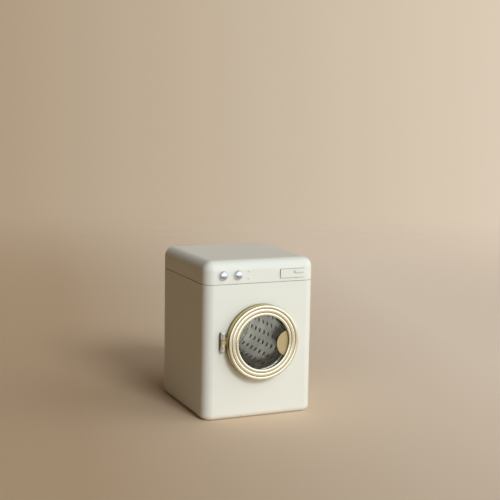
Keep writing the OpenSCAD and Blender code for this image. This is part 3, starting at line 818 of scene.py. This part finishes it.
def makeGrip():
    # a half-moon for the finger, on a flat ring behind the door ring
    low, high, middle, size = span("door_grip_plate")
    reach, cut, radius = grip["reach"], grip["cut"], grip["radius"]
    tilt = math.radians(-grip["tilt"])
    towards = Vector((math.cos(tilt), 0, math.sin(tilt)))
    across = Vector((-math.sin(tilt), 0, math.cos(tilt)))
    # the half-moon's two arcs meet at this angle, seen from the door's centre
    meet = math.acos((reach ** 2 + cut ** 2 - radius ** 2) / (2 * reach * cut))
    half = math.degrees(meet)
    moon = math.degrees(math.atan2(cut * math.sin(meet), cut * math.cos(meet) - reach))
    outline = arc(reach, 0, radius, moon, 360 - moon, grip["moonSteps"])
    outline += arc(0, 0, cut, -half, half, grip["cutSteps"])[1:-1]
    bm = bmesh.new()
    centre = Vector((middle.x, low.y, middle.z))
    face = bm.faces.new([bm.verts.new(centre + towards * u + across * v) for u, v in outline])
    face.normal_update()
    if face.normal.y > 0:
        bmesh.ops.reverse_faces(bm, faces=[face])
    addPiece("gripTab", bm, "door", "grip_gold", thickness=size.y, bevel=grip["bevel"])
    inner, outer = grip["annulus"], size.x / 2
    bm = bmesh.new()
    turnedShape(bm, [(inner, 0), (outer, 0), (outer, size.y), (inner, size.y)],
                Vector((middle.x, high.y, middle.z)), grip["steps"])
    addPiece("gripRing", bm, "door", "grip_gold", ["door_grip_plate"])


makeDoorRing()
makeGrip()
print("door made")


# drum and the collar round its mouth

drum = {
    "wall": 0.8 * mm,
    "thinWall": 0.3 * mm,
    "holeRadius": 2.2 * mm,
    "holeSides": 20,
    "pitch": 9.4 * mm,
    "rows": 24,
    "firstRow": 1,  # degrees
    "mouth": 26 * mm,
    "lip": 0.8 * mm,
    "lipSteps": 20,
    "disc": 0.9 * mm,
    "join": 0.02 * mm,
    "steps": 128,
}


def makeDrumShell():
    # punched tiles in staggered rows, laid flat and then rolled into the shell
    low, high, middle, size = span("drum_shell")
    outer = size.x / 2 - drum["wall"] + drum["thinWall"]
    pitch = drum["pitch"]
    width = math.tau * outer / drum["rows"]
    count = math.floor(size.y / pitch - 0.5)
    end = (size.y - (count + 0.5) * pitch) / 2
    bm = bmesh.new()
    bmesh.ops.create_grid(bm, x_segments=1, y_segments=1, size=0.5,
                          matrix=Matrix.Diagonal((width, pitch, 1, 1)))
    bmesh.ops.subdivide_edges(bm, edges=bm.edges[:], cuts=1)
    outline = bm.edges[:]
    bmesh.ops.delete(bm, geom=bm.faces[:], context="FACES_ONLY")
    outline += ringOutline(bm, Matrix.Identity(4), drum["holeRadius"], drum["holeSides"])
    bmesh.ops.triangle_fill(bm, use_beauty=True, use_dissolve=False, edges=outline)
    punched = bm.verts[:] + bm.edges[:] + bm.faces[:]
    for row in range(drum["rows"]):
        start = end + (pitch / 2 if row % 2 else 0)
        for i in range(count):
            tile = bmesh.ops.duplicate(bm, geom=punched)["geom"]
            step = Vector((row * width, start + (i + 0.5) * pitch, 0))
            bmesh.ops.translate(bm, verts=vertsOf(tile), vec=step)
        for near, far in ((0, start), (start + count * pitch, size.y)):
            place = Matrix.Translation((row * width, (near + far) / 2, 0))
            bmesh.ops.create_grid(bm, x_segments=2, y_segments=1, size=0.5,
                                  matrix=place @ Matrix.Diagonal((width, far - near, 1, 1)))
    bmesh.ops.delete(bm, geom=vertsOf(punched), context="VERTS")
    for vert in bm.verts:
        turn = vert.co.x / outer + math.radians(drum["firstRow"])
        vert.co = Vector((middle.x + outer * math.cos(turn), low.y + vert.co.y,
                          middle.z + outer * math.sin(turn)))
    bmesh.ops.remove_doubles(bm, verts=bm.verts, dist=drum["join"])
    faceOutwards(bm, middle)
    addPiece("drumShell", bm, "drum", "drum_steel", ["drum_shell"],
             thickness=drum["thinWall"], smoothAngle=50)


def makeDrumMouth():
    # a flat ring with a rolled lip round its mouth
    low, high, middle, size = span("drum_front_ring")
    lip, disc, mouth = drum["lip"], drum["disc"], drum["mouth"]
    outer = size.x / 2
    lipCurve = arc(mouth + lip, size.y - lip, lip, 90, 360, drum["lipSteps"])
    profile = [(outer, 0), (outer, disc), (mouth + 2 * lip, disc)]
    profile += lipCurve[::-1] + [(mouth + lip, 0)]
    bm = bmesh.new()
    turnedShape(bm, profile, Vector((middle.x, high.y, middle.z)), drum["steps"])
    addPiece("drumMouth", bm, "drum", "drum_steel", ["drum_front_ring"], smoothAngle=50)


collar = {
    "inner": 24.5 * mm,
    "wall": 0.9 * mm,
    "flangeAt": 1 * mm,
    "flange": 0.8 * mm,
    "round": 0.3 * mm,
    "steps": 128,
}


def makeCollar():
    # a short tube with softened ends and a flange behind the front sheet
    low, high, middle, size = span("opening_collar")
    inner, outer, soft = collar["inner"], collar["inner"] + collar["wall"], collar["round"]
    flangeFront = size.y - collar["flangeAt"]
    flangeBack = flangeFront - collar["flange"]
    brim = size.x / 2
    profile = arc(inner + soft, soft, soft, 180, 270, 4)
    profile += arc(outer - soft, soft, soft, 270, 360, 4)
    profile += [(outer, flangeBack), (brim, flangeBack), (brim, flangeFront), (outer, flangeFront)]
    profile += arc(outer - soft, size.y - soft, soft, 0, 90, 4)
    profile += arc(inner + soft, size.y - soft, soft, 90, 180, 4)
    bm = bmesh.new()
    turnedShape(bm, profile, Vector((middle.x, high.y, middle.z)), collar["steps"])
    addPiece("openingCollar", bm, "cabinet", "tinned_steel", ["opening_collar"], smoothAngle=50)


makeDrumShell()
makeDrumMouth()
makeCollar()
print("drum made")


# hinge

hinge = {
    "barrel": 2.2 * mm,
    "pin": 1.1 * mm,
    "bore": 1.15 * mm,
    "soft": 0.3 * mm,
    "foot": 0.8 * mm,
    "neckWidth": 0.5,  # a share of the foot's width
    "neckStart": 0.8,  # a share of the barrel's radius
    "lowerShare": 0.3,  # the knuckles' ends are shares of the bracket's height
    "upperShare": 0.62,
    "gap": 0.3 * mm,
    "bevel": 0.12 * mm,
    "headHeight": 0.9 * mm,
    "headRadius": 2.0 * mm,
    "steps": 48,
}


def turnedKnuckle(bm, centre, height):
    r, soft, bore = hinge["barrel"], hinge["soft"], hinge["bore"]
    profile = [(bore, height), (bore, 0)] + arc(r - soft, soft, soft, 270, 360, 5)
    profile += arc(r - soft, height - soft, soft, 0, 90, 5)
    turnedShape(bm, profile, centre, hinge["steps"], axis="Z")


def makeHinge():
    # a foot plate with two knuckles; the door's own knuckle turns between them
    low, high, middle, size = span("hinge_bracket")
    pin = span("hinge_pin")[2]
    knuckles = [(low.z, low.z + hinge["lowerShare"] * size.z),
                (low.z + hinge["upperShare"] * size.z + hinge["gap"], high.z)]
    neckSide, soft = hinge["neckWidth"] * size.x / 2, hinge["soft"]
    neckFront = pin.y + hinge["neckStart"] * hinge["barrel"]
    bm = bmesh.new()
    for bottom, top in knuckles:
        turnedKnuckle(bm, Vector((pin.x, pin.y, bottom)), top - bottom)
        addBox(bm, Vector((middle.x - neckSide, neckFront, bottom + soft)),
               Vector((middle.x + neckSide, high.y - hinge["foot"] / 2, top - soft)))
    addBox(bm, Vector((low.x, high.y - hinge["foot"], low.z)), high)
    addPiece("hingeBracket", bm, "cabinet", "hinge_chrome", ["hinge_bracket"],
             bevel=hinge["bevel"], smoothAngle=50)


def makeHingePin():
    # a shaft with a dome at each end
    bracketLow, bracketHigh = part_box("hinge_bracket")
    pin = span("hinge_pin")[2]
    length = bracketHigh.z - bracketLow.z
    cap = domeArc(hinge["headRadius"], hinge["headHeight"], 8)
    below = [(r, -h) for r, h in cap]
    above = [(r, length + h) for r, h in cap]
    bm = bmesh.new()
    turnedShape(bm, below + [(hinge["pin"], 0), (hinge["pin"], length)] + above[::-1],
                Vector((pin.x, pin.y, bracketLow.z)), hinge["steps"], axis="Z", closed=False)
    addPiece("hingePin", bm, "cabinet", "hinge_chrome", ["hinge_pin"], smoothAngle=50)


def makeHingeWasher():
    low, high, middle, size = span("hinge_washer")
    bm = bmesh.new()
    turnedKnuckle(bm, Vector((middle.x, middle.y, low.z)), size.z)
    addPiece("hingeWasher", bm, "cabinet", "hinge_chrome", ["hinge_washer"], smoothAngle=50)


makeHinge()
makeHingePin()
makeHingeWasher()
print("hinge made")


# knobs

knob = {
    "radius": 4.2 * mm,
    "height": 3.8 * mm,
    "spindle": 1.5 * mm,
    "rimBack": 0.15 * mm,
    "rimFront": 0.12 * mm,
    "domeSteps": 24,
    "steps": 96,
}


def makeKnob(name, node):
    # a dome on a spindle
    low, high, middle, size = span(node)
    radius, spindle = knob["radius"], knob["spindle"]
    depth = size.y - knob["height"]
    cap = [(r, depth + h) for r, h in domeArc(radius, knob["height"], knob["domeSteps"])[:-1]]
    profile = [(0, 0), (spindle, 0), (spindle, depth), (radius - knob["rimBack"], depth),
               (radius, depth + knob["rimFront"])]
    bm = bmesh.new()
    turnedShape(bm, profile + cap[::-1], Vector((middle.x, high.y, middle.z)), knob["steps"],
                closed=False)
    addPiece(name, bm, node, "knob_chrome", [node], smoothAngle=50)


makeKnob("leftKnob", "left_knob")
makeKnob("rightKnob", "right_knob")
print("knobs made")


# drawer

drawer = {"corner": 1 * mm, "pullCorner": 0.7 * mm, "bevel": 0.3 * mm}

for slabName, slabNode, slabCorner in (("drawerFront", "drawer_front", drawer["corner"]),
                                       ("drawerPull", "drawer_pull", drawer["pullCorner"])):
    addSlab(slabName, slabNode, "drawer", towardsFront, slabCorner, span(slabNode)[3].y,
            drawer["bevel"])
print("drawer made")


# floor

paper = {
    "dark": "#C7AA87",
    "pale": "#FFE9CE",
    "radius": 8,
    # painted light: the paper turns paler along this way, towards the light side
    "paintedLightWay": (1.35, -0.3, 0),
    "driftFrom": -0.2,
    "driftTo": 0.42,
    "fadeFrom": 0.5,
    "fadeTo": 1.7,
}


def makeFloor():
    bm = bmesh.new()
    bmesh.ops.create_circle(bm, cap_ends=True, radius=paper["radius"], segments=96)
    mesh = bpy.data.meshes.new("floor")
    bm.to_mesh(mesh)
    bm.free()
    floor = addObject("floor", mesh)
    # matt backdrop paper with painted light: its tone grows paler towards the light side, and its
    # far edge fades out
    settings = {"Base Color": linearColour(paper["pale"]), "Roughness": 0.9}
    material, tree, surface, place = newMaterial("studioPaper", settings)
    paintedLightWay = addNode(tree, "ShaderNodeVectorMath", {"operation": "DOT_PRODUCT", 1: paper["paintedLightWay"]},
                    {0: place})
    pale = addNode(tree, "ShaderNodeMapRange", {
        "From Min": paper["driftFrom"],
        "From Max": paper["driftTo"],
    }, {"Value": paintedLightWay.outputs["Value"]})
    tone = addNode(tree, "ShaderNodeMix", {
        "data_type": "RGBA",
        colourA: linearColour(paper["dark"]),
        colourB: linearColour(paper["pale"]),
    }, {0: pale.outputs["Result"]})
    linkInputs(tree, surface, {"Base Color": tone.outputs[mixedColour]})
    distance = addNode(tree, "ShaderNodeVectorMath", {"operation": "LENGTH"}, {0: place})
    fade = addNode(tree, "ShaderNodeMapRange", {
        "interpolation_type": "SMOOTHSTEP",
        "From Min": paper["fadeFrom"],
        "From Max": paper["fadeTo"],
    }, {"Value": distance.outputs["Value"]})
    clear = addNode(tree, "ShaderNodeBsdfTransparent")
    blend = addNode(tree, "ShaderNodeMixShader", None, {
        0: fade.outputs["Result"],
        1: surface.outputs["BSDF"],
        2: clear.outputs["BSDF"],
    })
    linkInputs(tree, tree.nodes["Material Output"], {"Surface": blend.outputs["Shader"]})
    mesh.materials.append(material)


# room and window; each set has two tones and the direction in which the tone turns pale

backdrop = {
    "dark": "#9D876A",
    "pale": "#E4D4BF",
    "towards": (0.915, -0.403, 0),
    "from": -0.36,
    "to": 0.3,
}
room = {
    "dark": "#261A0B",
    "pale": "#8C7B66",
    "towards": (0.85, -0.4, 0.3),
    "from": -0.2,
    "to": 0.95,
}
window = {
    "colour": "#F2F8FF",
    "strength": 1.55,
    "lighting": {"towards": (0.54, -0.74, 0.4), "from": 0.6, "to": 0.84},
    "mirrored": {"towards": (0.2, -0.97, 0.12), "from": -0.1, "to": 0.5},
}


def directionRamp(tree, way, ramp, curve="LINEAR"):
    # rises from 0 to 1 as the way turns towards the ramp's own direction
    facing = addNode(tree, "ShaderNodeVectorMath", {"operation": "DOT_PRODUCT", 1: ramp["towards"]},
                     {0: way})
    rise = addNode(tree, "ShaderNodeMapRange", {
        "interpolation_type": curve,
        "From Min": ramp["from"],
        "From Max": ramp["to"],
    }, {"Value": facing.outputs["Value"]})
    return rise.outputs["Result"]


def makeWorld():
    # a dim room with one window behind the camera; eye, metal and glass see the pale backdrop
    world = bpy.data.worlds.new("studio")
    bpy.context.scene.world = world
    world.use_nodes = True
    tree = world.node_tree
    tree.nodes.clear()
    way = addNode(tree, "ShaderNodeTexCoord").outputs["Generated"]
    shades = []
    for walls in (room, backdrop):
        tone = addNode(tree, "ShaderNodeMix", {
            "data_type": "RGBA",
            colourA: linearColour(walls["dark"]),
            colourB: linearColour(walls["pale"]),
        }, {0: directionRamp(tree, way, walls)})
        shades.append(addNode(tree, "ShaderNodeBackground", {"Strength": 1.0},
                              {"Color": tone.outputs[mixedColour]}))
    path = addNode(tree, "ShaderNodeLightPath")
    mirrored = addNode(tree, "ShaderNodeMath", {"operation": "MAXIMUM"},
                       {0: path.outputs["Is Glossy Ray"], 1: path.outputs["Is Transmission Ray"]})
    seen = addNode(tree, "ShaderNodeMath", {"operation": "MAXIMUM"},
                   {0: path.outputs["Is Camera Ray"], 1: mirrored.outputs["Value"]})
    around = addNode(tree, "ShaderNodeMixShader", None, {
        0: seen.outputs["Value"],
        1: shades[0].outputs["Background"],
        2: shades[1].outputs["Background"],
    })
    # metal and glass meet a broader window than the one that lights
    glass = addNode(tree, "ShaderNodeMix", {"data_type": "FLOAT"}, {
        0: mirrored.outputs["Value"],
        numberA: directionRamp(tree, way, window["lighting"], "SMOOTHSTEP"),
        numberB: directionRamp(tree, way, window["mirrored"], "SMOOTHSTEP"),
    })
    # the eye never meets the window itself, from whichever side it looks
    shown = addNode(tree, "ShaderNodeMath", {"operation": "SUBTRACT", "use_clamp": True},
                    {0: glass.outputs[mixedNumber], 1: path.outputs["Is Camera Ray"]})
    pane = addNode(tree, "ShaderNodeBackground", {
        "Color": linearColour(window["colour"]),
        "Strength": window["strength"],
    })
    light = addNode(tree, "ShaderNodeMixShader", None, {
        0: shown.outputs["Value"],
        1: around.outputs["Shader"],
        2: pane.outputs["Background"],
    })
    addNode(tree, "ShaderNodeOutputWorld", None, {"Surface": light.outputs["Shader"]})


# lamps and camera

windowSun = {
    "strength": 1.64,
    "colour": "#E9F3FF",
    "angle": 18,  # degrees, as are turn and rise
    "turn": 8,
    "rise": 31,
    "distance": 1,
}
portholeLamp = {
    "power": 1120,
    "radius": 0.07,
    "cone": 6,  # degrees, as are turn and rise
    "soft": 0.3,
    "turn": -20,
    "rise": 5,
    "distance": 1.2,
}


def aimLamp(holder, lamp, target):
    # the lamp stands where its turn and rise say, seen from the target, and looks back at it
    turn, rise = math.radians(lamp["turn"]), math.radians(lamp["rise"])
    towards = Vector((math.sin(turn) * math.cos(rise), -math.cos(turn) * math.cos(rise),
                      math.sin(rise)))
    holder.location = target + towards * lamp["distance"]
    holder.rotation_euler = towards.to_track_quat("Z", "Y").to_euler()


def makeWindowSun():
    lamp = bpy.data.lights.new("windowSun", "SUN")
    lamp.energy = windowSun["strength"]
    lamp.color = linearColour(windowSun["colour"])[:3]
    lamp.angle = math.radians(windowSun["angle"])
    holder = addObject("windowSun", lamp)
    # metal and enamel mirror the window, not this stand-in for its strongest light
    holder.visible_glossy = False
    aimLamp(holder, windowSun, Vector((0, 0, 0)))


def makePortholeLamp():
    # a narrow lamp through the porthole for the drum alone, so that its inside reads
    lit = bpy.data.collections.new("drumLit")
    inside = ["drumShell", "drumMouth"]
    for node in ("drum_back", "drum_hub", "hub_rivets", "hub_bush", "drum_axle"):
        inside.append(nodes[node].name)
    for name in inside:
        lit.objects.link(bpy.data.objects[name])
    lamp = bpy.data.lights.new("portholeLamp", "SPOT")
    lamp.energy = portholeLamp["power"]
    lamp.shadow_soft_size = portholeLamp["radius"]
    lamp.spot_size = math.radians(portholeLamp["cone"])
    lamp.spot_blend = portholeLamp["soft"]
    holder = addObject("portholeLamp", lamp)
    holder.light_linking.receiver_collection = lit
    aimLamp(holder, portholeLamp, doorCentre)


camera = {
    "place": (-393.15 * mm, -921.55 * mm, 283.60 * mm),
    "turn": 23.803,  # degrees, as are tilt and roll
    "tilt": 8.098,
    "roll": 0.958,
    "lens": 80.12,
    "sensor": 36,
}


def makeCamera():
    data = bpy.data.cameras.new("camera")
    data.sensor_width = camera["sensor"]
    data.lens = camera["lens"]
    holder = addObject("camera", data)
    turn, tilt, roll = (math.radians(camera[key]) for key in ("turn", "tilt", "roll"))
    look = Matrix.Rotation(-turn, 4, "Z") @ Matrix.Rotation(math.pi / 2 - tilt, 4, "X")
    holder.matrix_world = (Matrix.Translation(camera["place"]) @ look
                           @ Matrix.Rotation(roll, 4, "Z"))
    bpy.context.scene.camera = holder


makeFloor()
makeWorld()
makeWindowSun()
makePortholeLamp()
makeCamera()
bpy.context.scene.view_settings.view_transform = "Standard"
print("studio made")

bpy.context.view_layer.update()
